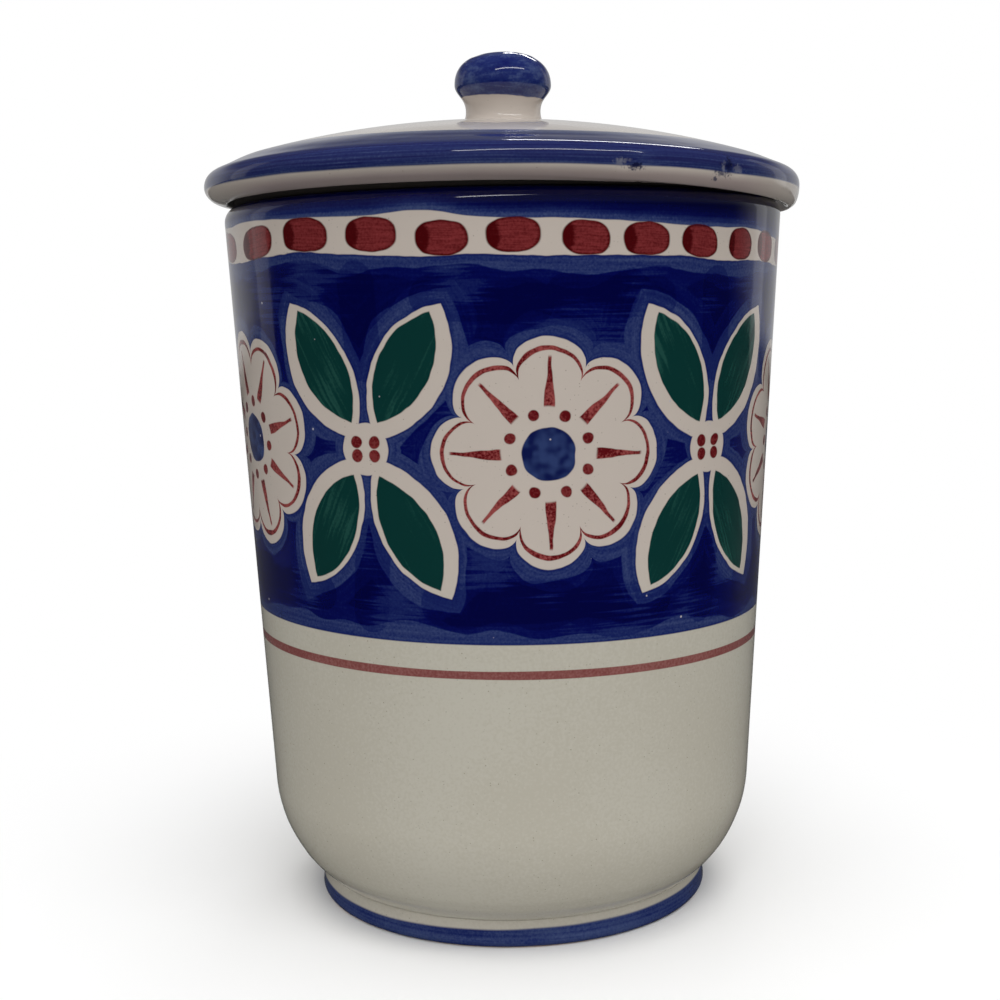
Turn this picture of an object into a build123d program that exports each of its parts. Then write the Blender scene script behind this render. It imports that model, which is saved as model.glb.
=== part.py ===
from build123d import *
import os
from math import sqrt

# A lidded kitchen canister in glazed earthenware, in millimetres.
# The jar stands on a turned foot ring. Its domed lid rests on the rim, kept in place by a flange
# that hangs in the mouth, and is lifted by a knob luted to its top.
# The origin is the middle of the foot, at the height of the table, with +Z up.

# Foot ring, luted under the jar
foot_height = 8.7
foot_radius = 63.2
foot_width = 9.5
foot_lean = 0.8
foot_edge_round = 1.8

# Jar, measured outside and from the table, with the wall and the floor it is thrown to
jar_height = 220.0
rim_radius = 87.6
belly_radius = 77.2
belly_height = 38.0
crease_overhang = 0.4
wall = 7.0
floor = 8.0
rim_outer_round_share = 0.6
rim_inner_round_share = 0.2

# Flange, a ring on the underside of the lid
flange_clearance = 1.8
flange_wall = 5.5
flange_depth = 12.0
flange_round_share = 0.3

# Lid, from the seat on the rim through the rounded lip to the top of the dome
lid_overhang = 5.2
seat_relief = 1.3
lip_thickness = 8.1
lip_round_share = 0.6
dome_rise = 15.6
lid_wall = 7.0
hollow_round = 3.0

# Knob, on a flat cut into the top of the dome
knob_seat_depth = 0.9
knob_seat_clearance = 0.4
knob_collar_width = 2.0
knob_collar_edge = 0.7
knob_collar_height = 1.6
knob_neck_foot_radius = 12.3
knob_waist_pull_radius = 10.2
knob_waist_pull_height = 8.9
knob_swell_height = 9.4
knob_radius = 15.2
knob_equator_height = 12.9
knob_crown_height = 10.0
crown_side_share = 0.64
crown_top_share = 0.67

# Heights and radii that follow from the sizes above
base_radius = foot_radius - foot_lean + crease_overhang
floor_height = foot_height + floor
mouth_radius = rim_radius - wall
wall_slope = (rim_radius - belly_radius) / (jar_height - belly_height)
floor_corner_radius = mouth_radius - wall_slope * (jar_height - floor_height)
floor_round = belly_height - floor_height
rim_outer_round = rim_outer_round_share * wall
rim_inner_round = rim_inner_round_share * wall
flange_radius = mouth_radius - flange_clearance
hollow_radius = flange_radius - flange_wall
seat_radius = rim_radius - rim_outer_round
lid_radius = rim_radius + lid_overhang
lip_bottom = jar_height + seat_relief
lip_top = lip_bottom + lip_thickness
dome_top = lip_top + dome_rise
dome_radius = (lid_radius**2 + dome_rise**2) / (2 * dome_rise)
dome_centre = dome_top - dome_radius
ceiling_radius = dome_radius - lid_wall
knob_base = dome_top - knob_seat_depth
knob_collar_radius = knob_neck_foot_radius + knob_collar_width
knob_seat_radius = knob_collar_radius + knob_seat_clearance
knob_equator = knob_base + knob_equator_height
knob_top = knob_equator + knob_crown_height


def on_sphere(sphere_radius, radius):
    """The point at a radius on a sphere about the dome's centre, in the section plane."""
    return (radius, dome_centre + sqrt(sphere_radius**2 - radius**2))


os.makedirs("parts", exist_ok=True)

# The foot ring is a turned ring with rounded lower edges, a little narrower at its top.
with BuildPart() as foot_ring:
    with BuildSketch(Plane.XZ) as foot_section:
        with BuildLine():
            Polyline(
                (foot_radius, 0),
                (foot_radius - foot_lean, foot_height),
                (foot_radius - foot_width, foot_height),
                (foot_radius - foot_width, 0),
                close=True,
            )
        make_face()
        fillet(foot_section.vertices().group_by(Axis.Y)[0], foot_edge_round)
    revolve(axis=Axis.Z)
foot_ring.part.label = "foot_ring"
export_step(foot_ring.part, "parts/foot_ring.step")

# The jar is thrown in one piece: a flat floor, a round turn up from the foot, a wall that leans
# out evenly, and a rim that is rolled over outside.
with BuildPart() as jar_body:
    with BuildSketch(Plane.XZ) as jar_section:
        with BuildLine():
            outside = Line((rim_radius, jar_height), (belly_radius, belly_height))
            turn = TangentArc(outside @ 1, (base_radius, foot_height), tangent=outside % 1)
            underside = Line(turn @ 1, (0, foot_height))
            middle = Line(underside @ 1, (0, floor_height))
            inside = FilletPolyline(
                middle @ 1,
                (floor_corner_radius, floor_height),
                (mouth_radius, jar_height),
                radius=floor_round,
            )
            Line(inside @ 1, outside @ 0)
        make_face()
        inner_corner = jar_section.vertices().group_by(Axis.Y)[-1].sort_by(Axis.X)[0]
        fillet(inner_corner, rim_inner_round)
        outer_corner = jar_section.vertices().group_by(Axis.Y)[-1].sort_by(Axis.X)[-1]
        fillet(outer_corner, rim_outer_round)
    revolve(axis=Axis.Z)
jar_body.part.label = "jar_body"
export_step(jar_body.part, "parts/jar_body.step")

# The flange is a plain ring that hangs in the mouth with room to spare.
with BuildPart() as lid_flange:
    with BuildSketch(Plane.XZ) as flange_section:
        with BuildLine():
            Polyline(
                (hollow_radius, jar_height),
                (flange_radius, jar_height),
                (flange_radius, jar_height - flange_depth),
                (hollow_radius, jar_height - flange_depth),
                close=True,
            )
        make_face()
        fillet(flange_section.vertices().group_by(Axis.Y)[0], flange_round_share * flange_wall)
    revolve(axis=Axis.Z)
lid_flange.part.label = "lid_flange"
export_step(lid_flange.part, "parts/lid_flange.step")

# The lid is a domed shell with a thick rounded lip. Its underside is flat where it sits on the rim
# and lifts away from the rim towards the lip.
with BuildPart() as lid_dome:
    with BuildSketch(Plane.XZ) as lid_section:
        with BuildLine():
            knob_seat = Line((0, knob_base), (knob_seat_radius, knob_base))
            seat_edge = Line(knob_seat @ 1, on_sphere(dome_radius, knob_seat_radius))
            dome = ThreePointArc(
                seat_edge @ 1,
                on_sphere(dome_radius, seat_radius),
                (lid_radius, lip_top),
            )
            lip = Line(dome @ 1, (lid_radius, lip_bottom))
            relief = Line(lip @ 1, (seat_radius, jar_height))
            seat = Line(relief @ 1, (hollow_radius, jar_height))
            hollow_side = Line(seat @ 1, on_sphere(ceiling_radius, hollow_radius))
            ceiling = ThreePointArc(
                hollow_side @ 1,
                on_sphere(ceiling_radius, hollow_radius / 2),
                on_sphere(ceiling_radius, 0),
            )
            Line(ceiling @ 1, knob_seat @ 0)
        make_face()
        lip_corners = lid_section.vertices().group_by(Axis.X)[-1]
        fillet(lip_corners, lip_round_share * lip_thickness)
        hollow_corner = lid_section.vertices().sort_by_distance(hollow_side @ 1)[0]
        fillet(hollow_corner, hollow_round)
    revolve(axis=Axis.Z)
lid_dome.part.label = "lid_dome"
export_step(lid_dome.part, "parts/lid_dome.step")

# The knob is a flattened ball on a waisted neck, with a thin collar where it joins the lid.
with BuildPart() as lid_knob:
    with BuildSketch(Plane.XZ) as knob_section:
        with BuildLine():
            base = Line((0, knob_base), (knob_collar_radius, knob_base))
            collar_edge = Line(base @ 1, (knob_collar_radius, knob_base + knob_collar_edge))
            collar = Line(collar_edge @ 1, (knob_neck_foot_radius, knob_base + knob_collar_height))
            side = Bezier(
                collar @ 1,
                (knob_waist_pull_radius, knob_base + knob_waist_pull_height),
                (knob_radius, knob_base + knob_swell_height),
                (knob_radius, knob_equator),
            )
            crown = Bezier(
                side @ 1,
                (knob_radius, knob_equator + crown_side_share * knob_crown_height),
                (crown_top_share * knob_radius, knob_top),
                (0, knob_top),
            )
            Line(crown @ 1, base @ 0)
        make_face()
    revolve(axis=Axis.Z)
lid_knob.part.label = "lid_knob"
export_step(lid_knob.part, "parts/lid_knob.step")
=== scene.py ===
from math import atan2, ceil, cos, hypot, pi, radians, sin, sqrt

import bpy
import numpy as np
from mathutils import Matrix, Vector


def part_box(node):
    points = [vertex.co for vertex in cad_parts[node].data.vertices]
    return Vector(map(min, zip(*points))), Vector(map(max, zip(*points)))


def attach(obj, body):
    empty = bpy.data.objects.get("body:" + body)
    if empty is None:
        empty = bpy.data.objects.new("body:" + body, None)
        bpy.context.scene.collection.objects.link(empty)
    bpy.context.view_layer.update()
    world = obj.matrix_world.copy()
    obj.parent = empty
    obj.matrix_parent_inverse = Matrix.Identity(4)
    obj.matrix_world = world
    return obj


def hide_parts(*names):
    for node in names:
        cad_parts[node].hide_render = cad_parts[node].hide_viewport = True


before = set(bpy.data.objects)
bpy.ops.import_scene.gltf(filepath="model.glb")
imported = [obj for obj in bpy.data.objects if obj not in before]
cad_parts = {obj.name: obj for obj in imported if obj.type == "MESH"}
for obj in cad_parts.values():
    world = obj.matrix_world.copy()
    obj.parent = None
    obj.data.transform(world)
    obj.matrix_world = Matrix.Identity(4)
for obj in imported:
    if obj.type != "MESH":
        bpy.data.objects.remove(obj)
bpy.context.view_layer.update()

# The jar is thrown in one piece of earthenware: a flat floor, a round turn up from the foot, a wall
# that leans out evenly and a rolled rim. It is dipped in a creamy tin glaze, and the bands, dashes
# and flowers are brushed on the raw glaze, so that they melt into it in the firing.
mm = 0.001
jar_low, jar_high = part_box("jar_body")
base = np.array((62.8 * mm, jar_low.z))
belly = np.array((77.2, 38.0)) * mm
rim = np.array((87.6 * mm, jar_high.z))
wall, floor_thickness = 7.0 * mm, 8.0 * mm
base_round = 0.9 * mm
rim_outer_round, rim_inner_round = 5.0 * mm, 1.4 * mm
lean = atan2(*(rim - belly))
turn_radius = hypot(*(belly - base)) / (2 * sin(atan2(*(belly - base)) - lean))
turn_centre = belly - turn_radius * np.array((cos(lean), -sin(lean)))
turn_count, turn_first = 24, 4
mouth_radius = rim[0] - wall
floor_top = jar_low.z + floor_thickness
wall_slope = (rim[0] - belly[0]) / (rim[1] - belly[1])
floor_radius = mouth_radius - (rim[1] - floor_top) * wall_slope
jar_step = 1.6 * mm


def arc(centre, start, end, count):
    """Points on the way round a centre from a start to an end, in a section."""
    begin, finish = (atan2(*(np.array(point) - centre)[::-1]) for point in (start, end))
    radius = hypot(*(np.array(start) - centre))
    return [
        (centre[0] + radius * cos(angle), centre[1] + radius * sin(angle), 0)
        for angle in np.linspace(begin, finish, count)
    ]


def soften(corners, step):
    """Points at most a step apart along a section. Each corner is its radius, height and round."""
    path = [np.array(corners[0][:2])]
    for before, here, after in zip(corners, corners[1:], corners[2:]):
        corner, corner_round = np.array(here[:2]), here[2]
        if not corner_round:
            path.append(corner)
            continue
        ways = [np.array(other[:2]) - corner for other in (before, after)]
        back, on = [way / hypot(*way) for way in ways]
        half = np.arccos(np.clip(back @ on, -1, 1)) / 2
        centre = corner + (back + on) / hypot(*(back + on)) * corner_round / np.sin(half)
        out = corner + back * (corner_round / np.tan(half)) - centre
        across = on - back
        side = np.array((-out[1], out[0])) * np.sign(out[0] * across[1] - out[1] * across[0])
        bend = pi - 2 * half
        count = max(3, ceil(bend * corner_round / (0.5 * step)) + 1)
        for share in np.linspace(0, 1, count):
            path.append(centre + out * cos(bend * share) + side * sin(bend * share))
    path.append(np.array(corners[-1][:2]))
    points = [path[0]]
    for start, end in zip(path, path[1:]):
        count = max(1, ceil(hypot(*(end - start)) / step))
        points += [start + (end - start) * part / count for part in range(1, count + 1)]
    return np.array(points)


def throw(name, section, drift, care, ring=False, around=256):
    """A piece turned on the wheel from its section. Drift is the hand's own wander in radius and
    height, and care is how much of the painter's map each stretch of the section gets."""
    steps = np.hypot(*np.diff(section, axis=0).T) * care(*((section[1:] + section[:-1]) / 2).T)
    share = np.concatenate(((0,), np.cumsum(steps))) / steps.sum()
    if ring:
        section = section[:-1]
    angle = 2 * pi * np.arange(around) / around
    radius, height = (np.repeat(part[:, None], around, 1) for part in section.T)
    out, up = drift(angle[None, :] + 0 * radius, radius, height)
    radius, height = radius + out, height + up
    points = np.stack((radius * np.sin(angle), -radius * np.cos(angle), height), -1)
    rows, shares = (points, share) if ring else (points[1:-1], share[1:-1])
    count = len(rows)
    vertices = [tuple(point) for point in rows.reshape(-1, 3)]
    faces, places = [], []
    sides = [
        (left, (left + 1) % around, left / around, (left + 1) / around) for left in range(around)
    ]
    for row in range(count if ring else count - 1):
        here, next_row = row * around, (row + 1) % count * around
        low, high = shares[row], shares[row + 1]
        for left, right, west, east in sides:
            faces.append((here + left, here + right, next_row + right, next_row + left))
            places += [(west, low), (east, low), (east, high), (west, high)]
    poles = () if ring else ((0, section[0][1], 0.0), (count - 1, section[-1][1], 1.0))
    for row, pole_height, pole_share in poles:
        middle = len(vertices)
        vertices.append((0, 0, pole_height))
        for left, right, west, east in sides:
            corners = [row * around + left, row * around + right]
            spots = [(west, shares[row]), (east, shares[row])]
            if row == 0:
                corners.reverse()
                spots.reverse()
            faces.append((*corners, middle))
            places += [*spots, ((west + east) / 2, pole_share)]
    mesh = bpy.data.meshes.new(name)
    mesh.from_pydata(vertices, [], faces)
    layer = mesh.uv_layers.new(name="OFBake")
    layer.data.foreach_set("uv", np.array(places, np.float32).ravel())
    mesh.polygons.foreach_set("use_smooth", np.ones(len(faces), bool))
    mesh.validate()
    piece = bpy.data.objects.new(name, mesh)
    bpy.context.scene.collection.objects.link(piece)
    return piece


jar_section = soften(
    [
        (0, jar_low.z, 0),
        (*base, base_round),
        *arc(turn_centre, base, belly, turn_count)[turn_first:],
        (*rim, rim_outer_round),
        (mouth_radius, rim[1], rim_inner_round),
        (floor_radius, floor_top, belly[1] - floor_top),
        (0, floor_top, 0),
    ],
    jar_step,
)

# How the jar is out of round, as lobes, how far they reach and where they start, and how deep and
# how far apart the finger marks are inside
lobes = ((2, 0.16 * mm, 0.6), (3, 0.09 * mm, 2.1))
drawn_in = 0.2 * mm
ring_depth, ring_pitch, ring_rise = 0.28 * mm, 8.5 * mm, 30 * mm
swirl_depth, swirl_pitch, swirl_rise, swirl_start = 0.22 * mm, 9 * mm, 6 * mm, 12 * mm
smooth_rim = 12 * mm
above_floor = floor_top - 1 * mm


def wall_outside(height):
    """The radius of the leaning wall's outside at a height."""
    return belly[0] + (height - belly[1]) * wall_slope


def jar_drift(angle, radius, height):
    """The jar is a hair out of round, and the fingers' spiral is left on the inside."""
    share = np.clip((height - belly[1]) / (rim[1] - belly[1]), 0, 1)
    oval = sum(reach * np.cos(count * angle + start) for count, reach, start in lobes) - drawn_in
    depth = np.clip((wall_outside(height) - radius) / wall, 0, 1)
    depth = np.where((height > above_floor) & (height <= rim[1] - smooth_rim), depth, 0)
    on_wall = np.clip((height - floor_top) / ring_rise, 0, 1)
    on_floor = np.clip(1 - (height - floor_top) / swirl_rise, 0, 1)
    rings = ring_depth * np.sin(2 * pi * height / ring_pitch - angle) * depth * on_wall
    swirl = swirl_depth * np.sin(2 * pi * radius / swirl_pitch - angle) * depth * on_floor
    return oval * share + rings, swirl * np.clip(radius / swirl_start, 0, 1)


def jar_care(radius, height):
    """The painted outside gets most of the map."""
    inside = (radius < wall_outside(height) - 0.6 * wall) & (height > above_floor)
    underneath = height < jar_low.z + 0.1 * mm
    return np.where(inside | underneath, 0.3, 1.0)


jar = throw("jar", jar_section, jar_drift, jar_care)


class Mark:
    """A value that changes over the clay: one output of a node, written in sums."""

    def __init__(self, socket):
        self.socket = socket

    def node(self, kind, settings, feeds, output=0):
        """An output of a new node, once its settings are made and its sockets are fed."""
        tree = self.socket.id_data
        made = tree.nodes.new(kind)
        for name, value in settings.items():
            if name != "stops":
                setattr(made, name, value)
        for index, (at, colour) in enumerate(settings.get("stops", ())):
            ramp = made.color_ramp.elements
            stop = ramp[index] if index < len(ramp) else ramp.new(at)
            stop.position, stop.color = at, colour
        for name, value in feeds.items():
            if isinstance(value, Mark):
                tree.links.new(value.socket, made.inputs[name])
            else:
                made.inputs[name].default_value = value
        return Mark(made.outputs[output])

    def math(self, operation, *others):
        feeds = dict(enumerate((self, *others)))
        return self.node("ShaderNodeMath", {"operation": operation}, feeds)

    def __add__(self, other):
        return self.math("ADD", other)

    __radd__ = __add__

    def __sub__(self, other):
        return self.math("SUBTRACT", other)

    def __rsub__(self, other):
        return self.node("ShaderNodeMath", {"operation": "SUBTRACT"}, {0: other, 1: self})

    def __mul__(self, other):
        return self.math("MULTIPLY", other)

    __rmul__ = __mul__

    def __truediv__(self, other):
        return self.math("DIVIDE", other)

    def __pow__(self, other):
        return self.math("POWER", other)

    def __neg__(self):
        return self.math("MULTIPLY", -1.0)

    def __abs__(self):
        return self.math("ABSOLUTE")


def bundle(first, second, third):
    """A vector of three values."""
    mark = next(part for part in (first, second, third) if isinstance(part, Mark))
    return mark.node("ShaderNodeCombineXYZ", {}, {0: first, 1: second, 2: third})


def parts(vector):
    """The three values of a vector."""
    split = vector.node("ShaderNodeSeparateXYZ", {}, {0: vector}).socket.node
    return [Mark(split.outputs[index]) for index in range(3)]


def shift(vector, other):
    """A vector moved by another."""
    return vector.node("ShaderNodeVectorMath", {"operation": "ADD"}, {0: vector, 1: other})


def stretch(vector, factors):
    """A vector with each part multiplied by its own factor."""
    return vector.node("ShaderNodeVectorMath", {"operation": "MULTIPLY"}, {0: vector, 1: factors})


def away(first, second):
    """How far off a point is, from its distances along two directions."""
    return (first * first + second * second).math("SQRT")


def fade(value, start, end):
    """From 0 at the start to 1 at the end, eased."""
    return value.node(
        "ShaderNodeMapRange",
        {"interpolation_type": "SMOOTHSTEP"},
        {"Value": value, "From Min": start, "From Max": end},
    )


def mottle(place, size, detail=2.0, output=0):
    """Cloudy patches about a size across, from 0 to 1 and mostly near 0.5."""
    feeds = {"Vector": place, "Scale": 1 / size, "Detail": detail}
    return place.node("ShaderNodeTexNoise", {}, feeds, output)


def uneven(place, size, detail=0.0):
    """Cloudy patches about a size across, as how far each is above or below their middle."""
    return mottle(place, size, detail) - 0.5


def bristles(first, second, third, detail=1.0):
    """The streaks of a brush, with patches one long in each of three values."""
    return mottle(bundle(first, second, third), 1.0, detail)


def dabs(place, size):
    """Dabs about a size apart: how far off the nearest is, in sizes, and its own three numbers."""
    feeds = {"Vector": place, "Scale": 1 / size, "Randomness": 1.0}
    near = place.node("ShaderNodeTexVoronoi", {}, feeds)
    return near, parts(Mark(near.socket.node.outputs["Color"]))


def wander(place, size, reach):
    """A drift of the hand, as a vector: patches of a size, moved about half a reach each way."""
    cloud = mottle(place, size, 1.0, 1)
    return stretch(shift(cloud, (-0.5, -0.5, -0.5)), (2.0 * reach,) * 3)


def least(first, *others):
    """The smallest of some values."""
    for other in others:
        first = first.math("MINIMUM", other)
    return first


def paint(under, over, cover):
    """A colour laid over another as thickly as cover says."""
    mark = next(part for part in (under, over, cover) if isinstance(part, Mark))
    return mark.node("ShaderNodeMix", {"data_type": "RGBA"}, {0: cover, 6: under, 7: over}, 2)


def swatch(red, green, blue):
    """A colour read off a swatch, 0 to 255 a channel, as the shader takes it."""
    level = np.array((red, green, blue)) / 255
    return (*np.where(level <= 0.04045, level / 12.92, ((level + 0.055) / 1.055) ** 2.4), 1.0)


def fire(piece, name):
    """A fired glaze on a piece: its shader, and the place on the clay in millimetres."""
    material = bpy.data.materials.new(name)
    material.use_nodes = True
    tree = material.node_tree
    shader = tree.nodes["Principled BSDF"]
    shader.inputs["IOR"].default_value = 1.5
    piece.data.materials.append(material)
    object_place = Mark(tree.nodes.new("ShaderNodeTexCoord").outputs["Object"])
    return shader, stretch(object_place, (1 / mm,) * 3)


swell_size, pit_size, skin_depth = 9.0, 1.3, 0.12 * mm
haze_size = 7.0


def finish_glaze(shader, colour, place, gloss, matt=0.0):
    """Colour and gloss, with the slow swell and fine pitting of a melted glaze. Matt is how much
    rougher it is where it is worn or wiped."""
    skin = mottle(place, swell_size, 1.0) + 0.06 * mottle(place, pit_size, 0.0)
    bump_feeds = {"Height": skin, "Strength": 0.5, "Distance": skin_depth}
    bump = skin.node("ShaderNodeBump", {}, bump_feeds)
    rough = gloss + 0.05 * mottle(place, haze_size) + matt
    tree = shader.id_data
    tree.links.new(colour.socket, shader.inputs["Base Color"])
    tree.links.new(rough.socket, shader.inputs["Roughness"])
    tree.links.new(bump.socket, shader.inputs["Normal"])


cream, cream_warm = swatch(190, 186, 173), swatch(185, 180, 166)
cream_pink, cream_rosy = swatch(191, 180, 171), swatch(197, 186, 176)
cream_speck = swatch(110, 102, 86)
cream_grain, cream_cloud = 0.9, 34.0
speck_size, speck_reach, speck_drift = 1.2, 0.13, 13.0


def cream_glaze(place, blush, tint=cream_pink):
    """Tin glaze with a fine grain, a tint by its blush, and dark specks of iron in drifts."""
    warmth = mottle(place, cream_grain, 1.0) + 0.5 * uneven(place, cream_cloud)
    ground = paint(cream, cream_warm, fade(warmth, 0.3, 0.7))
    ground = paint(ground, tint, blush)
    off, own = dabs(place, speck_size)
    kept = fade(own[0] + 1.6 * uneven(place, speck_drift, 2.0), 0.35, 0.9)
    reach = speck_reach * (0.7 + own[1])
    return paint(ground, cream_speck, 0.6 * kept * fade(off, reach, 0.4 * reach))


blue_tones = (
    (0.0, swatch(0, 2, 61)),
    (0.3, swatch(3, 9, 80)),
    (0.62, swatch(26, 39, 95)),
    (1.0, swatch(68, 82, 122)),
)
pigment_size = 0.7
brush_edge = 0.2


def brushed_blue(tone):
    """Cobalt blue, deepest where strokes overlap and lightest where the brush ran dry."""
    return tone.node("ShaderNodeValToRGB", {"stops": blue_tones}, {0: tone})


# The bands ran out of true on the wheel, more so towards the rim. What is banded on the wheel goes
# by the banded height, and what is brushed freehand also wanders with the hand.
tilt, tilt_growth, tilt_height = 1.1, 0.0115, 90.0
hand_sway, hand_shake = (46.0, 1.6), (5.0, 0.4)
blush_low, blush_high = 92.0, 120.0
jar_glaze, clay = fire(jar, "jar_glaze")
plain_x, plain_y, plain_z = parts(clay)
jar_out = away(plain_x, plain_y)
banded_z = plain_z + (tilt + tilt_growth * (plain_z - tilt_height)) * plain_x / jar_out
handed = shift(shift(clay, wander(clay, *hand_sway)), wander(clay, *hand_shake))
handed_x, handed_y, handed_z = parts(handed)
brushed_z = banded_z + (handed_z - plain_z)
angle = handed_x.math("ARCTAN2", -handed_y)
grain = mottle(clay, pigment_size)
plain_cream = cream_glaze(clay, fade(plain_z, blush_low, blush_high), cream_rosy)


def sway(*strays):
    """How far the brush strays round the jar. Each stray is how far, at what turn, and how many
    degrees it takes to come back on either side."""
    return sum(
        size * fade(abs(angle - radians(turn)), radians(reach), 0.0)
        for size, turn, reach in strays
    )


# The flowers on the frieze: one in each of five parts round the jar, in a scalloped reserve
panel_low, panel_high, panel_radius = 95.1, 202.0, 83.0
frieze_height, frieze_turn = 148.6, radians(8)
repeats, petals = 5, 8
repeat_width, petal_angle = 2 * pi * panel_radius / repeats, 2 * pi / petals
flower_radius, flower_dip, flower_twist = 25.0, 7.0, 0.37
share = (angle - frieze_turn) * (repeats / (2 * pi))
flower_index = share.math("ROUND")
flower_u = (share - flower_index) * repeat_width
flower_v = brushed_z - frieze_height
flower_out = away(flower_u, flower_v)
flower_turn = flower_v.math("ARCTAN2", flower_u) * (1 / petal_angle) + flower_twist * flower_index
petal_share = flower_turn - flower_turn.math("ROUND")
petal_lobe = (petal_share * pi).math("COSINE").math("MAXIMUM", 0.0) ** 0.5
flower_edge = flower_out - (flower_radius + flower_dip * petal_lobe)
petal_across = abs(petal_share) * petal_angle * flower_out

# Four leaves in each gap between two flowers, laid crosswise, each in a reserve that is off to one
# side, and a round reserve in their middle
leaf_lean = radians(61)
leaf_start, leaf_length, leaf_half = 8.5, 35.0, 7.6
leaf_bow = ((leaf_length / 2) ** 2 - leaf_half**2) / (2 * leaf_half)
reserve_slip, reserve_shift, reserve_margin = 0.6, 1.6, 3.0
knot_radius = 7.4
gap_share = share - 0.5
gap_u = (gap_share - gap_share.math("ROUND")) * repeat_width
gap_side, gap_rise = abs(gap_u), abs(flower_v)
leaf_along = gap_side * cos(leaf_lean) + gap_rise * sin(leaf_lean) - (leaf_start + leaf_length / 2)
leaf_across = gap_rise * cos(leaf_lean) - gap_side * sin(leaf_lean)


def lens(along, across):
    """How far a point lies outside a pointed leaf, and how deep in it where that is below zero."""
    return away(along, abs(across) + leaf_bow) - (leaf_bow + leaf_half)


leaf_edge = lens(leaf_along, leaf_across)
leaf_reserve = lens(leaf_along + reserve_slip, leaf_across + reserve_shift) - reserve_margin
reserve = least(flower_edge, leaf_reserve, away(gap_u, flower_v) - knot_radius)

# The blue ground: thin strokes are brushed round the reserves and along both edges, then the rest
# is filled twice with a loaded brush, which leaves a crisp edge where one stroke overlaps another
drop = sway((3.2, -66.0, 27.0), (1.3, 72.0, 26.0))
panel_top = panel_high - 0.8 * drop + 1.8 * uneven(clay, 22.0)
edge = least(reserve, panel_top - brushed_z, banded_z - panel_low)
edge_streak = bristles(edge / 0.9, angle * 3.0, plain_z / 28.0)
fill_streak = bristles(angle * 4.0, plain_z / 0.9, jar_out / 9.0)
first_fill, second_fill, dryness = parts(mottle(clay, 17.0, 0.5, 1))
dry = fade(fill_streak + 1.5 * (dryness - 0.5), 0.48, 0.8)
tone = 0.7 + 0.32 * (edge_streak - 0.5) + 0.35 * (grain - 0.5) - 0.14 * fade(edge, 0.8, 0.1)
for fill, ragged, inset, depth, lost in (
    (first_fill, 9.0, 3.4, 0.42, 0.3),
    (second_fill, 16.0, 6.6, 0.16, 0.08),
):
    filled = fade(edge + ragged * (fill - 0.5), inset, inset + 0.5)
    tone = tone - filled * (depth - lost * dry)

# Each stroke is where it starts and ends, in millimetres from a flower's middle or from the middle
# of the gap beside it, and half its width
flower_strokes = (
    ((-30, 42), (-5, 41), 6.4),
    ((5, 43), (31, 42), 5.8),
    ((-31, -42), (2, -41), 6.2),
    ((9, -43), (33, -42), 5.6),
)
gap_strokes = (
    ((0, 46), (1, 25), 5.8),
    ((1, -25), (-1, -46), 5.8),
)


def lay_stroke(tone, side, rise, start, end, half):
    """One more stroke over a ground, deep where the brush was wet."""
    run = np.subtract(end, start)
    length = hypot(*run)
    way = run / length
    from_side, from_rise = side - float(start[0]), rise - float(start[1])
    along = from_side * way[0] + from_rise * way[1]
    across = from_rise * way[0] - from_side * way[1]
    past = along - along.math("MAXIMUM", 0.0).math("MINIMUM", length)
    return tone - fade(half - away(past, across), -0.15, 0.25) * (0.15 - 0.09 * dry)


for stroke in flower_strokes:
    tone = lay_stroke(tone, flower_u, flower_v, *stroke)
for stroke in gap_strokes:
    tone = lay_stroke(tone, gap_u, flower_v, *stroke)
panel = fade(banded_z, panel_low - brush_edge, panel_low + brush_edge)
panel = panel * fade(brushed_z - panel_top, brush_edge, -brush_edge)
ground = panel * fade(reserve, -brush_edge, brush_edge)
jar_colour = paint(plain_cream, brushed_blue(tone), ground)

# Leaves in copper green
green_deep, green_thin = swatch(8, 52, 49), swatch(30, 74, 67)
leaf_streak = bristles(leaf_across / 1.1, leaf_along / 22.0, plain_z / 60.0)
leaf_thin = fade(leaf_streak + 0.9 * (dryness - 0.5) + 0.3 * (grain - 0.5), 0.5, 0.85)
green = paint(green_deep, green_thin, leaf_thin)
jar_colour = paint(jar_colour, green, fade(leaf_edge, brush_edge, -brush_edge))

# Flowers in iron red: a vein in each petal, an outline inside the reserve, and a ring of seeds
# round a blue eye, with four berries where the leaves cross
red_deep, red_thin = swatch(92, 14, 20), swatch(150, 72, 70)
eye_deep, eye_thin = swatch(12, 22, 74), swatch(44, 60, 106)
vein_start, vein_end = 13.0, 26.5
outline_inset, outline_start = 3.2, 20.5
seed_ring, seed_radius = 11.2, 1.55
berry_side, berry_rise, berry_radius = 2.9, 1.9, 1.8
eye_radius = 7.4
thin = fade(grain + 0.6 * uneven(clay, 6.0), 0.3, 0.75)
vein_width = 0.45 + 1.0 * fade(flower_out, 25.0, 14.0)
vein = fade(petal_across - vein_width, 0.2, -0.15)
vein = vein * fade(flower_out, vein_start - 0.4, vein_start + 0.4)
vein = vein * fade(flower_out, vein_end + 0.5, vein_end - 0.5)
outline_half = 0.35 + 0.5 * mottle(clay, 11.0, 0.0)
outline = fade(abs(flower_edge + outline_inset) - outline_half, 0.2, -0.15)
outline = outline * fade(flower_out, outline_start - 0.5, outline_start + 0.5)
red = paint(red_deep, red_thin, thin)
jar_colour = paint(jar_colour, red, vein.math("MAXIMUM", outline))
seed = away(flower_out - seed_ring, (0.5 - abs(petal_share)) * petal_angle * flower_out)
seed = fade(seed, seed_radius + 0.2, seed_radius - 0.2)
berry = away(gap_side - berry_side, gap_rise - berry_rise)
berry = fade(berry, berry_radius + 0.2, berry_radius - 0.2)
red_dab = paint(red_deep, red_thin, 0.45 * thin)
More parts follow.
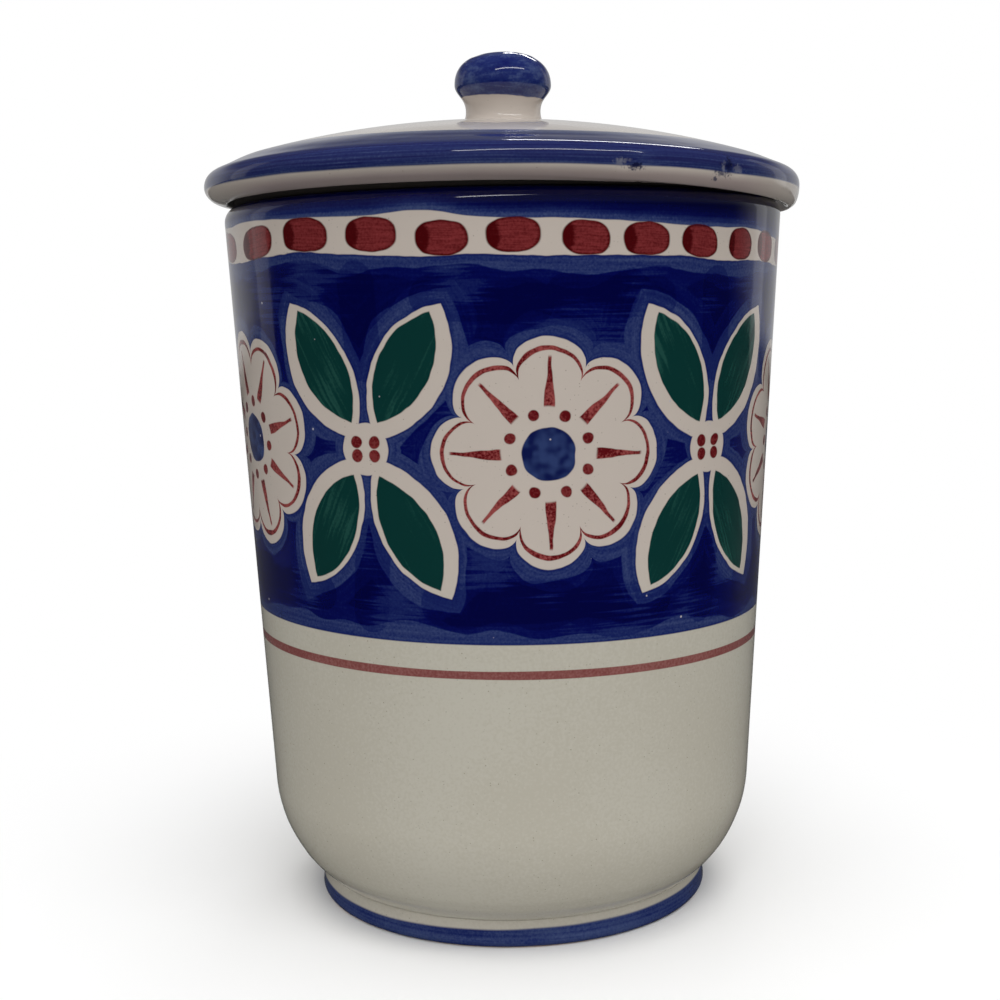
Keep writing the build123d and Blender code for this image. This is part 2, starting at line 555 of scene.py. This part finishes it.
jar_colour = paint(jar_colour, red_dab, seed.math("MAXIMUM", berry))
eye = paint(eye_deep, eye_thin, fade(mottle(clay, 4.0, 1.0), 0.35, 0.65))
eye_edge = flower_out + 1.4 * uneven(clay, 5.0)
jar_colour = paint(jar_colour, eye, fade(eye_edge, eye_radius + 0.2, eye_radius - 0.2))

# Blue over the rim, thin at its lower edge and deeper towards its top, where the lid's shadow is
# painted in as darker blue, and a thin red line under the frieze
rim_low, rim_lid_shadow = 211.6, swatch(1, 3, 34)
rim_stray = sway((1.5, -14.5, 13.0), (-0.8, 36.0, 28.0), (-2.6, 76.0, 24.0), (-1.0, -72.0, 24.0))
rim_ragged = 1.4 * uneven(clay, 26.0) + 0.4 * uneven(clay, 6.0)
rim_edge = banded_z - rim_low - rim_stray + rim_ragged
rim_streak = bristles(plain_z / 0.8, jar_out / 0.8, angle * 2.0)
rim_tone = 0.84 + 0.5 * (rim_streak - 0.5) + 0.4 * (grain - 0.5)
# The tone deepens towards the top of the rim, partly as painted shadow under the lid
rim_tone = rim_tone - 0.5 * fade(rim_edge, 0.4, 3.4) - 0.4 * fade(rim_edge, 3.0, 6.5)
mouth = mouth_radius / mm
rim_cover = fade(rim_edge, -brush_edge, brush_edge) * fade(jar_out, mouth - 0.4, mouth + 0.6)
# Painted shadow: near-black blue laid over the top of the rim, where the lid shades it
rim_blue = paint(brushed_blue(rim_tone), rim_lid_shadow, 0.45 * fade(rim_edge, 1.0, 5.0))
jar_colour = paint(jar_colour, rim_blue, rim_cover)
line_height, line_half = 86.4, 1.05
line_deep, line_thin = swatch(120, 58, 58), swatch(140, 88, 84)
line_edge = abs(banded_z - line_height) - (line_half + 0.35 * mottle(clay, 40.0, 0.0))
line_red = paint(line_deep, line_thin, fade(grain + 0.5 * (dryness - 0.5), 0.3, 0.8))
jar_colour = paint(jar_colour, line_red, 0.96 * fade(line_edge, 0.16, -0.12))

# Red dashes under the rim, each pressed down at its left end and drawn to the right. The painter's
# steps grew to the left of the front and shrank to the right.
dash_count, dash_height, dash_turn = 28, 206.8, radians(2.2)
dash_half_width, dash_half_height, dash_squareness = 7.1, 4.55, 2.5
dash_step = 2 * pi * 86.8 / dash_count
dash_deep, dash_thin, dash_over_blue = swatch(72, 4, 8), swatch(136, 52, 54), swatch(56, 12, 30)
press_place, press_half_width, press_half_height = 5.9, 2.4, 3.9
step_sine, step_even = radians(4.7), radians(9.6)
step_drift = (1 - angle.math("COSINE")) * (step_sine * angle.math("SINE") - step_even)
dash_share = (angle - dash_turn - step_drift) * (dash_count / (2 * pi))
dash_index = dash_share.math("ROUND")
dash_number = dash_index.math("FLOORED_MODULO", float(dash_count))
luck = dash_number.node(
    "ShaderNodeTexWhiteNoise", {"noise_dimensions": "1D"}, {"W": dash_number}, 1
)
luck_side, luck_rise, luck_width = (part - 0.5 for part in parts(luck))
dash_u = (dash_share - dash_index) * dash_step + 1.0 * luck_side
dash_v = brushed_z - dash_height + drop + 1.0 * luck_rise
dash_side = (abs(dash_u) / (dash_half_width + 0.8 * luck_width)) ** dash_squareness
dash_rise = (abs(dash_v) / dash_half_height) ** dash_squareness
dash_edge = ((dash_side + dash_rise) ** (1 / dash_squareness) - 1.0) * dash_half_height
dash_streak = bristles(dash_v / 0.5, dash_u / 9.0, dash_index)
press_off = away((dash_u + press_place) / press_half_width, dash_v / press_half_height)
dash_tone = 0.52 + 0.6 * (dash_streak - 0.5) + 0.6 * (grain - 0.5)
dash_tone = dash_tone - 0.5 * fade(press_off, 1.25, 0.7) - 0.34 * fade(dash_edge, -0.8, -0.1)
dash_red = paint(dash_deep, dash_thin, fade(dash_tone, 0.0, 0.95))
painted = panel.math("MAXIMUM", rim_cover)
dash_red = paint(dash_red, dash_over_blue, 0.6 * painted)
jar_colour = paint(jar_colour, dash_red, fade(dash_edge, brush_edge, -brush_edge))

pinhole_size, pinhole_pale = 8.5, swatch(184, 180, 186)


def pinholes(place, colour):
    """Tiny pale pits that the glaze left open over the colours."""
    off, own = dabs(place, pinhole_size)
    return paint(colour, pinhole_pale, 0.9 * fade(off, 0.05, 0.03) * fade(own[0], 0.25, 0.3))


jar_colour = paint(jar_colour, pinholes(clay, jar_colour), painted)
wall_middle = mouth + (plain_z - rim[1] / mm) * wall_slope + 0.4 * wall / mm
outside = fade(jar_out - wall_middle, -0.5, 0.5).math("MAXIMUM", rim_cover)
jar_colour = paint(plain_cream, jar_colour, outside)
finish_glaze(jar_glaze, jar_colour, clay, 0.05)
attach(jar, "jar")
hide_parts("jar_body")

# The foot ring is turned from a coil of the same clay and luted under the jar. Its side is glazed
# with a blue band along the bottom, and its resting edge is wiped bare for the kiln shelf.
foot_low, foot_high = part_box("foot_ring")
foot_radius, foot_width, foot_lean = 63.2 * mm, 9.5 * mm, 0.8 * mm
foot_edge_round, foot_top_round = 1.8 * mm, 0.7 * mm
foot_inner = foot_radius - foot_width
foot_middle = foot_radius - 0.5 * foot_width
foot_step, foot_wobble = 0.9 * mm, 0.06 * mm
foot = throw(
    "foot",
    soften(
        [
            (foot_middle, foot_high.z, 0),
            (foot_inner, foot_high.z, 0),
            (foot_inner, foot_low.z, foot_edge_round),
            (foot_radius, foot_low.z, foot_edge_round),
            (foot_radius - foot_lean, foot_high.z, foot_top_round),
            (foot_middle, foot_high.z, 0),
        ],
        foot_step,
    ),
    lambda angle, radius, height: (-foot_wobble * (1 + np.cos(3 * angle)), 0 * height),
    lambda radius, height: np.where(radius > foot_middle, 1.0, 0.5),
    ring=True,
)
clay_pale, clay_warm = swatch(196, 166, 140), swatch(176, 138, 110)
clay_grog, clay_cloud = 1.1, 9.0


def bare_clay(place):
    """Fired clay where the glaze was wiped away, with its grog."""
    warmth = mottle(place, clay_grog, 3.0) + 0.6 * uneven(place, clay_cloud, 2.0)
    return paint(clay_pale, clay_warm, fade(warmth, 0.3, 0.72))


foot_glaze, clay = fire(foot, "foot_glaze")
foot_x, foot_y, foot_z = parts(shift(clay, wander(clay, 30.0, 0.5)))
foot_out = away(foot_x, foot_y)
grain = mottle(clay, pigment_size)
foot_band, foot_tilt, foot_bare = 5.7, 0.8, 0.2
foot_streak = bristles(foot_z / 0.8, foot_out / 0.8, mottle(clay, 30.0) * 2.0)
foot_tone = 0.8 + 0.5 * (foot_streak - 0.5) + 0.5 * uneven(clay, 26.0, 2.0) + 0.4 * (grain - 0.5)
outside = fade(foot_out, foot_middle / mm - 0.2, foot_middle / mm + 0.2)
below_band = fade(foot_z - foot_tilt * foot_x / foot_out, foot_band + 0.4, foot_band - 0.4)
foot_colour = paint(cream_glaze(clay, 0.15), brushed_blue(foot_tone), outside * below_band)
bare = fade(foot_z, foot_bare + 0.1, foot_bare - 0.1)
foot_colour = paint(foot_colour, bare_clay(clay), bare)
finish_glaze(foot_glaze, foot_colour, clay, 0.07, 0.6 * bare)
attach(foot, "jar")
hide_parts("foot_ring")

# The flange is a ring of clay luted under the lid, which hangs in the mouth and keeps the lid from
# sliding off. It is glazed cream, and its lower edge is wiped bare.
flange_low, flange_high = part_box("lid_flange")
flange_radius, flange_wall = flange_high.x, 5.5 * mm
flange_round = 0.3 * flange_wall
flange_top = flange_high.z - 0.05 * mm
flange_inner = flange_radius - flange_wall
flange_middle = flange_radius - 0.5 * flange_wall
flange_step, flange_dip, flange_edge = 1.0 * mm, 0.12 * mm, 3 * mm


def flange_drift(angle, radius, height):
    """The lower edge was cut a little unevenly."""
    return 0 * radius, flange_dip * (1 + np.sin(2 * angle)) * (height < flange_low.z + flange_edge)


def even_care(radius, height):
    """Every stretch of the section gets its share of the map."""
    return 1 + 0 * radius


flange = throw(
    "flange",
    soften(
        [
            (flange_middle, flange_top, 0),
            (flange_inner, flange_top, 0),
            (flange_inner, flange_low.z, flange_round),
            (flange_radius, flange_low.z, flange_round),
            (flange_radius, flange_top, 0),
            (flange_middle, flange_top, 0),
        ],
        flange_step,
    ),
    flange_drift,
    even_care,
    ring=True,
)
flange_glaze, clay = fire(flange, "flange_glaze")
flange_z = parts(shift(clay, wander(clay, 9.0, 1.2)))[2]
wiped = flange_low.z / mm + 1.6
bare = fade(flange_z, wiped + 0.3, wiped - 0.3)
flange_colour = paint(cream_glaze(clay, 0.5), bare_clay(clay), bare)
finish_glaze(flange_glaze, flange_colour, clay, 0.07, 0.6 * bare)
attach(flange, "flange")
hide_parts("lid_flange")

# The lid is thrown as a shallow dome with a thick rounded lip, flat underneath where it sits on
# the rim. It is glazed cream all over, and the lip is banded blue on the wheel with a loaded
# brush. The kiln warped it a little, and the lip has lost its glaze in two small places.
lid_low, lid_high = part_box("lid_dome")
lid_radius = lid_high.x
seat_radius, hollow_radius = 83.4 * mm, flange_inner
lip_low, lip_high, lip_round = 221.3 * mm, 229.4 * mm, 4.86 * mm
dome_top = 245.0 * mm
lid_wall, hollow_round = 7.0 * mm, 3.0 * mm
knob_seat_radius, knob_seat = 14.7 * mm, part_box("lid_knob")[0].z
dome_radius = (lid_radius**2 + (dome_top - lip_high) ** 2) / (2 * (dome_top - lip_high))
dome_centre = dome_top - dome_radius
lid_step, lid_around = 1.5 * mm, 512
ceiling_count, dome_count, dome_share = 24, 40, 0.9

# The groove beside the seat, each corner as how far out from the seat, how high and how round
groove = ((0.5, 1.3, 0.2), (3.0, 0.45, 0.5))

# The kiln's warp in millimetres: how far the lid drops to the right, how the lip lifts in front and
# behind, to the right and sags at both sides, and how its underside does the same on top of that
lid_drop = 1.45
lip_lift, lip_side, lip_sag = 0.5, 0.3, 1.75
hang_lift, hang_side, hang_sag = 0.5, -1.25, 1.3
lip_inner, lip_ease, seat_ease = 79 * mm, 12 * mm, 6 * mm
hang_height, hang_inner, hang_ease = 225.5 * mm, 87 * mm, 3 * mm

# Each chip is its turn, height, half width and depth
chips = ((20.8, 224.8, 2.6, 0.5), (41.4, 225.6, 1.6, 0.7), (44.4, 225.4, 1.5, 0.5))
chip_inner, chip_squat = 88 * mm, 0.7
lid_slant = -lid_drop * mm / lid_radius


def dome(radius, sink):
    """A point on the dome, or on the ceiling under it, at a radius."""
    return (radius, dome_centre + sqrt((dome_radius - sink) ** 2 - radius**2), 0)


def eased(share):
    """A share from 0 to 1 that starts and ends gently."""
    share = np.clip(share, 0, 1)
    return share * share * (3 - 2 * share)


def lid_drift(angle, radius, height):
    """The lid came out of the kiln slanted from side to side, with its lip lowest at both sides and
    hanging lower on the right. The lip is dented where it was chipped, and the seat is flat."""
    ceiling = dome_centre + np.sqrt((dome_radius - 0.5 * lid_wall) ** 2 - radius**2)
    over = height > ceiling
    past_seat = (radius - seat_radius) / seat_ease
    slanted = np.where(over, 1.0, np.clip(past_seat, 0, 1))
    lip = eased(np.where(over, (radius - lip_inner) / lip_ease, past_seat))
    side = np.sin(angle)
    up = lid_slant * radius * side * slanted
    up += lip * (lip_lift + lip_side * side - lip_sag * side**2) * mm
    hang = (hang_lift + hang_side * side - hang_sag * side**2) * mm
    under = np.where(over, 0, np.clip((hang_height - height) / hang_ease, 0, 1))
    up += hang * under * np.where(hang > 0, lip, eased((radius - hang_inner) / hang_ease))
    dent = 0 * radius
    for turn, at, size, depth in chips:
        along = ((angle - radians(turn) + pi) % (2 * pi) - pi) * lid_radius / (size * mm)
        rise = (height - at * mm) / (chip_squat * size * mm)
        dent += depth * mm * np.exp(-(along**2) - rise**2)
    return np.where(radius > chip_inner, -dent, 0), up


def lid_care(radius, height):
    """The lip gets most of the map, and the hollow least."""
    inner = np.where(height > lip_high, 1.0, 0.5)
    return np.where(radius > hollow_radius + 1 * mm, 1.6, inner)


ceiling_shares = np.linspace(0, dome_share, ceiling_count)
dome_shares = np.linspace(dome_share, knob_seat_radius / lid_radius, dome_count)
lid = throw(
    "lid",
    soften(
        [
            *[dome(hollow_radius * share, lid_wall) for share in ceiling_shares],
            (*dome(hollow_radius, lid_wall)[:2], hollow_round),
            (hollow_radius, lid_low.z, 0),
            (seat_radius, lid_low.z, 0),
            *[
                (seat_radius + out * mm, lid_low.z + high * mm, corner_round * mm)
                for out, high, corner_round in groove
            ],
            (lid_radius, lip_low, lip_round),
            (lid_radius, lip_high, lip_round),
            *[dome(lid_radius * share, 0) for share in dome_shares],
            (knob_seat_radius, knob_seat, 0),
            (0, knob_seat, 0),
        ],
        lid_step,
    ),
    lid_drift,
    lid_care,
    around=lid_around,
)

# The blue band covers the lip from a little below its middle up to a ring on the dome, thinner at
# both of its edges. It follows the lip's own height, with the warp taken out.
band_inner, band_low, thin_width = 73.0, 224.3, 6.5
dome_top_tint, dome_top_tint_low, dome_top_tint_high = swatch(192, 187, 184), 230.0, 236.0
band_grey, band_thin = swatch(56, 60, 74), swatch(108, 112, 134)
# The colour and reach of the painted shade under the lip's blue band
under_lip_shade, under_lip_shade_reach = swatch(160, 145, 142), 2.4
lid_glaze, clay = fire(lid, "lid_glaze")
lid_x, lid_y, lid_z = parts(shift(clay, wander(clay, 52.0, 0.7)))
lid_out = away(lid_x, lid_y)
lid_side = lid_x / lid_out
lid_angle = lid_x.math("ARCTAN2", -lid_y)
lip_z = lid_z - lip_lift + (lid_drop - lip_side) * lid_side + lip_sag * lid_side * lid_side
grain = mottle(clay, pigment_size)
on_lip = fade(lid_out, 88.0, 90.0)
under_lip = fade(lid_out, 84.0, 86.0)
lid_streak = bristles(lid_out / 0.6, lip_z / 0.6, mottle(clay, 46.0) * 4.0, 2.0)
thin_edge = fade(lid_out, band_inner + thin_width, band_inner)
lid_tone = 0.5 + 1.4 * (lid_streak - 0.5) + 0.4 * (grain - 0.5) + 0.3 * thin_edge
lid_tone = lid_tone + 0.34 * fade(lip_z, band_low + 1.6, band_low) * on_lip
lid_blue = paint(brushed_blue(lid_tone), band_grey, 0.2)
lid_blue = paint(lid_blue, band_thin, 0.5 * thin_edge)
on_top = fade(lid_out, 83.0, 84.0).math("MAXIMUM", fade(lid_z, 229.0, 230.0))
band = fade(lid_out, band_inner - 0.8, band_inner + 0.8) * on_top
band = band * fade(lip_z, band_low - 0.3, band_low + 0.3)
lid_cream = cream_glaze(clay, 0.8)
# The cream is painted paler and less pink towards the top of the dome
lid_cream = paint(lid_cream, dome_top_tint, 0.6 * fade(lid_z, dome_top_tint_low, dome_top_tint_high))
# Painted shade: the cream just under the band, on the lip's underside, is painted darker, most in
# front and less at both sides
under_lip_shade_cover = fade(lip_z, band_low, band_low - under_lip_shade_reach) * under_lip
lid_cream = paint(lid_cream, under_lip_shade, 0.8 * under_lip_shade_cover * fade(abs(lid_side), 0.95, 0.7))
lid_colour = paint(lid_cream, lid_blue, band)
lid_colour = paint(lid_colour, pinholes(clay, lid_colour), band)
ragged = uneven(clay, 0.8, 4.0)


def smudge(turn, height, wide, tall):
    """A ragged spot on the lip, at a turn and a height, so wide and tall each way."""
    off = away((lid_angle - radians(turn)) * (lid_radius / mm / wide), (lip_z - height) / tall)
    return fade(off + 2.4 * ragged, 1.1, 0.3) * under_lip


# Wear round the chips, each spot as its turn, height, half width, half height, colour and cover
spatter, worn_pale, worn_deep = swatch(34, 41, 74), swatch(116, 118, 132), swatch(10, 15, 52)
for turn, height, wide, tall, wear, cover in (
    (19.6, 225.2, 1.8, 1.4, worn_pale, 0.65),
    (20.4, 225.6, 2.6, 0.7, worn_pale, 0.45),
    (22.2, 224.2, 3.0, 1.2, spatter, 0.9),
    (22.6, 224.5, 1.6, 0.9, worn_deep, 0.8),
    (42.2, 226.2, 1.5, 3.2, worn_deep, 0.85),
    (40.8, 225.6, 0.9, 2.0, worn_pale, 0.7),
    (44.4, 225.6, 2.2, 1.6, worn_pale, 0.5),
    (40.2, 223.9, 3.2, 0.9, spatter, 0.8),
    (38.9, 222.3, 1.2, 0.7, spatter, 0.8),
):
    lid_colour = paint(lid_colour, wear, cover * smudge(turn, height, wide, tall))

# The seat is worn to the clay in patches, and the groove beside it is painted dark as shade, where
# it hides in the gap above the rim
seat_height = lid_low.z / mm + 0.8
groove_shade_colour = swatch(46, 39, 34)
worn = fade(lid_z, seat_height + 0.1, seat_height - 0.1)
worn = worn * fade(lid_out, 78.5, 79.5) * fade(lid_out, 82.3, 81.8)
worn = worn * fade(mottle(clay, 6.0, 3.0), 0.42, 0.6)
lid_colour = paint(lid_colour, bare_clay(clay), worn)
# Painted shade: the groove and the seat's edge inside the gap are painted near black and made
# rougher
groove_shade = fade(lid_out, 81.8, 82.2) * fade(lid_out, 86.2, 85.2) * fade(lid_z, 224.0, 223.0)
lid_colour = paint(lid_colour, groove_shade_colour, 0.95 * groove_shade)
finish_glaze(lid_glaze, lid_colour, clay, 0.045, 0.5 * worn + 0.8 * groove_shade)
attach(lid, "lid")
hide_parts("lid_dome")

# The knob is thrown off the hump as a flattened ball on a waisted neck, with a thin collar where it
# is luted into its seat on the lid, a hair off the middle. Glaze pools round the foot of the neck,
# and the ball is dabbed blue.
knob_low, knob_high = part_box("lid_knob")
knob_base, knob_top, knob_radius = knob_low.z, knob_high.z, knob_high.x
collar_radius, collar_edge, collar_height, collar_round = 14.3 * mm, 0.7 * mm, 1.6 * mm, 0.3 * mm
neck_radius = 12.3 * mm
equator = knob_base + 12.9 * mm
crown = knob_top - equator
side_pulls = ((10.2 * mm, knob_base + 8.9 * mm), (knob_radius, knob_base + 9.4 * mm))
crown_pulls = ((knob_radius, equator + 0.64 * crown), (0.67 * knob_radius, knob_top))
pool_start = (collar_radius - 0.8 * mm, knob_base + 1.06 * mm)
pool_pulls = (
    (neck_radius + 0.2 * mm, knob_base + 1.5 * mm),
    (neck_radius - 0.45 * mm, knob_base + 2.6 * mm),
)
neck_count, pool_count, pool_end = 28, 12, 4
knob_step, knob_around, knob_wobble = 0.8 * mm, 160, 0.12 * mm
knob_off_middle = 0.9 * mm


def pulled(start, first, second, end, count):
    """Points on a curve drawn from a start to an end by two pulls."""
    share = np.linspace(0, 1, count)[:, None]
    rest = 1 - share
    weights = (rest**3, 3 * share * rest**2, 3 * share**2 * rest, share**3)
    pulls = (start, first, second, end)
    curve = sum(weight * np.array(pull) for weight, pull in zip(weights, pulls))
    return [(radius, height, 0) for radius, height in curve]


def knob_drift(angle, radius, height):
    """The ball is a hair out of round, and the knob leans as the lid does."""
    wobble = knob_wobble * (1 + np.cos(2 * angle + 0.4)) * (radius > 8 * mm)
    return -wobble, lid_slant * radius * np.sin(angle) * (height < knob_top - 2 * mm)


neck_start, neck_end = (neck_radius, knob_base + collar_height), (knob_radius, equator)
neck = pulled(neck_start, *side_pulls, neck_end, neck_count)
knob = throw(
    "knob",
    soften(
        [
            (0, knob_base, 0),
            (collar_radius, knob_base, 0),
            (collar_radius, knob_base + collar_edge, collar_round),
            *pulled(pool_start, *pool_pulls, neck[pool_end][:2], pool_count),
            *neck[pool_end + 1 :],
            *pulled(neck_end, *crown_pulls, (0, knob_top), neck_count)[1:],
        ],
        knob_step,
    ),
    knob_drift,
    even_care,
    around=knob_around,
)
knob.data.transform(Matrix.Translation((knob_off_middle, 0, 0)))
knob_glaze, clay = fire(knob, "knob_glaze")
dabbed = shift(shift(clay, wander(clay, 16.0, 0.7)), wander(clay, 3.0, 0.2))
dabbed_x, dabbed_z = parts(dabbed)[::2]
grain = mottle(clay, pigment_size)
ball_low, ball_tilt = 252.8, 0.045
knob_streak = mottle(stretch(clay, (0.3, 0.3, 1.0)), 1.2, 2.0)
knob_tone = 0.66 + 0.7 * (knob_streak - 0.5) + 0.8 * uneven(clay, 9.0, 2.0) + 0.4 * (grain - 0.5)
ball = fade(dabbed_z + ball_tilt * dabbed_x, ball_low - brush_edge, ball_low + brush_edge)
knob_colour = paint(cream_glaze(clay, 0.9), brushed_blue(knob_tone), ball)
knob_colour = paint(knob_colour, pinholes(clay, knob_colour), ball)
finish_glaze(knob_glaze, knob_colour, clay, 0.045)
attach(knob, "lid")
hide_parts("lid_knob")

# A white floor that runs into a white room, lit by a broad soft light overhead and long lamps in
# front and behind. A tent that only the glaze reflects glows faintly in front and brighter low down
# behind, giving painted reflections, and keeps the colours deep.
scene = bpy.context.scene
scene.view_settings.view_transform = "Standard"


def grey(level):
    """A grey of a level, from 0 for black to 1 for white."""
    return (level, level, level, 1)


def seen_from(tree):
    """1 where the background is seen, straight or reflected, and 0 where it only sends light."""
    ray = tree.nodes.new("ShaderNodeLightPath").outputs
    seen = Mark(ray["Is Camera Ray"]) + Mark(ray["Is Glossy Ray"])
    return (seen + Mark(ray["Is Transmission Ray"])).math("MINIMUM", 1.0)


floor_half, floor_drop = 6.0, 0.1 * mm
floor_white, floor_near, floor_far = grey(0.92), grey(0.66), grey(0.12)
floor_corners = [
    (x * floor_half, y * floor_half, 0) for x, y in ((-1, -1), (1, -1), (1, 1), (-1, 1))
]
floor_mesh = bpy.data.meshes.new("floor")
floor_mesh.from_pydata(floor_corners, [], [(0, 1, 2, 3)])
floor = bpy.data.objects.new("floor", floor_mesh)
floor.location.z = -floor_drop
scene.collection.objects.link(floor)
floor_paint = bpy.data.materials.new("floor_paint")
floor_paint.use_nodes = True
floor_tree = floor_paint.node_tree
floor_shader = floor_tree.nodes["Principled BSDF"]
floor_shader.inputs["Roughness"].default_value = 1.0
floor_shader.inputs["Specular IOR Level"].default_value = 0.0
floor_seen = seen_from(floor_tree)
floor_place = Mark(floor_tree.nodes.new("ShaderNodeTexCoord").outputs["Object"])
floor_out = away(*parts(floor_place)[:2])
floor_lit = paint(floor_near, floor_far, fade(floor_out, 0.15, 0.6))
floor_colour = paint(floor_lit, floor_white, floor_seen)
floor_tree.links.new(floor_colour.socket, floor_shader.inputs["Base Color"])
backdrop_white = floor_tree.nodes.new("ShaderNodeEmission")
blend = floor_seen.node(
    "ShaderNodeMixShader",
    {},
    {
        0: floor_seen * fade(floor_out, 0.07, 0.26),
        1: Mark(floor_shader.outputs[0]),
        2: Mark(backdrop_white.outputs[0]),
    },
)
floor_tree.links.new(blend.socket, floor_tree.nodes["Material Output"].inputs["Surface"])
floor_mesh.materials.append(floor_paint)

room_light = 0.58
room = bpy.data.worlds.new("room")
scene.world = room
room.use_nodes = True
backdrop = room.node_tree.nodes["Background"]
backdrop.inputs["Color"].default_value = grey(1)
strength = room_light + (1 - room_light) * seen_from(room.node_tree)
room.node_tree.links.new(strength.socket, backdrop.inputs["Strength"])

tent_radius, tent_count, tent_step, tent_around = 2.4, 24, 0.3, 48
mat_height = 0.4 * mm
tent_edge = (tent_radius, mat_height)
tent_wall = arc(np.array((0.0, mat_height)), tent_edge, (0.0, tent_radius), tent_count)
tent = throw(
    "tent",
    soften([(0, mat_height, 0), (*tent_edge, 0), *tent_wall[1:]], tent_step),
    lambda angle, radius, height: (0 * radius, 0 * height),
    even_care,
    around=tent_around,
)
mat_dark, cloth_low, cloth_high, cloth_behind = grey(0.012), grey(0.02), grey(0.1), grey(0.5)
tent_cloth = bpy.data.materials.new("tent_cloth")
tent_cloth.use_nodes = True
cloth_tree = tent_cloth.node_tree
cloth_shader = cloth_tree.nodes["Principled BSDF"]
cloth_shader.inputs["Base Color"].default_value = grey(0)
cloth_shader.inputs["Emission Strength"].default_value = 1.0
cloth_place = Mark(cloth_tree.nodes.new("ShaderNodeTexCoord").outputs["Object"])
cloth_y, cloth_z = parts(cloth_place)[1:]
low_behind = fade(cloth_y, 0.5, 1.8) * fade(cloth_z, 1.25, 0.85)
# The tent glows: dim in front, brighter higher up and brightest low behind, seen only in
# reflections
cloth_glow = paint(cloth_low, cloth_high, fade(cloth_z, 0.3, 0.9))
cloth_glow = paint(cloth_glow, cloth_behind, low_behind)
cloth_glow = paint(mat_dark, cloth_glow, fade(cloth_z, 0.005, 0.1))
cloth_tree.links.new(cloth_glow.socket, cloth_shader.inputs["Emission Color"])
tent.data.materials.append(tent_cloth)
tent.visible_camera = tent.visible_diffuse = False
tent.visible_shadow = tent.visible_transmission = False


def hang_lamp(name, place, wide, deep, watts, mirrored=True):
    """An oblong soft lamp, hung at a place and turned to the canister. Where it isn't mirrored, the
    glaze doesn't show it."""
    lamp = bpy.data.lights.new(name, "AREA")
    lamp.shape, lamp.size, lamp.size_y, lamp.energy = "RECTANGLE", wide, deep, watts
    hung = bpy.data.objects.new(name, lamp)
    hung.location = place
    hung.rotation_euler = (lamp_aim - Vector(place)).to_track_quat("-Z", "Y").to_euler()
    hung.visible_glossy = mirrored
    scene.collection.objects.link(hung)


lamp_aim = Vector((0, 0, 0.13))
hang_lamp("overhead_lamp", (0, -0.2, 1.6), 1.4, 1.4, 11.0, mirrored=False)
hang_lamp("fill_lamp", (0.02, -1.5, 1.0), 1.4, 0.6, 6.2, mirrored=False)
hang_lamp("front_lamp", (0.34, -0.85, 1.3), 1.6, 0.09, 5.0)
hang_lamp("back_lamp", (0.22, 1.0, 0.96), 0.42, 0.08, 1.2)
hang_lamp("left_lamp", (-1.75, 0.75, 0.6), 0.4, 1.4, 0.5)
hang_lamp("right_lamp", (1.5, 1.15, 0.6), 0.4, 1.4, 0.5)

# The camera stands where the photograph was taken from, a little above the middle of the jar.
camera_place = (0, -0.49825, 0.18773)
pitch, yaw, roll = radians(7.106), radians(-0.262), radians(-1.018)
film_width = 36.0
focal_pixels, picture_pixels = 1543.5, 1000
ahead = Vector((sin(yaw) * cos(pitch), cos(yaw) * cos(pitch), -sin(pitch)))
level = Vector((cos(yaw), -sin(yaw), 0))
upright = level.cross(ahead)
right = cos(roll) * level + sin(roll) * upright
up = cos(roll) * upright - sin(roll) * level
camera_data = bpy.data.cameras.new("camera")
camera_data.sensor_width = film_width
camera_data.lens = film_width * focal_pixels / picture_pixels
camera_data.clip_start = 0.01
camera = bpy.data.objects.new("camera", camera_data)
camera_turn = Matrix((right, up, -ahead)).transposed().to_4x4()
camera.matrix_world = Matrix.Translation(camera_place) @ camera_turn
scene.collection.objects.link(camera)
scene.camera = camera
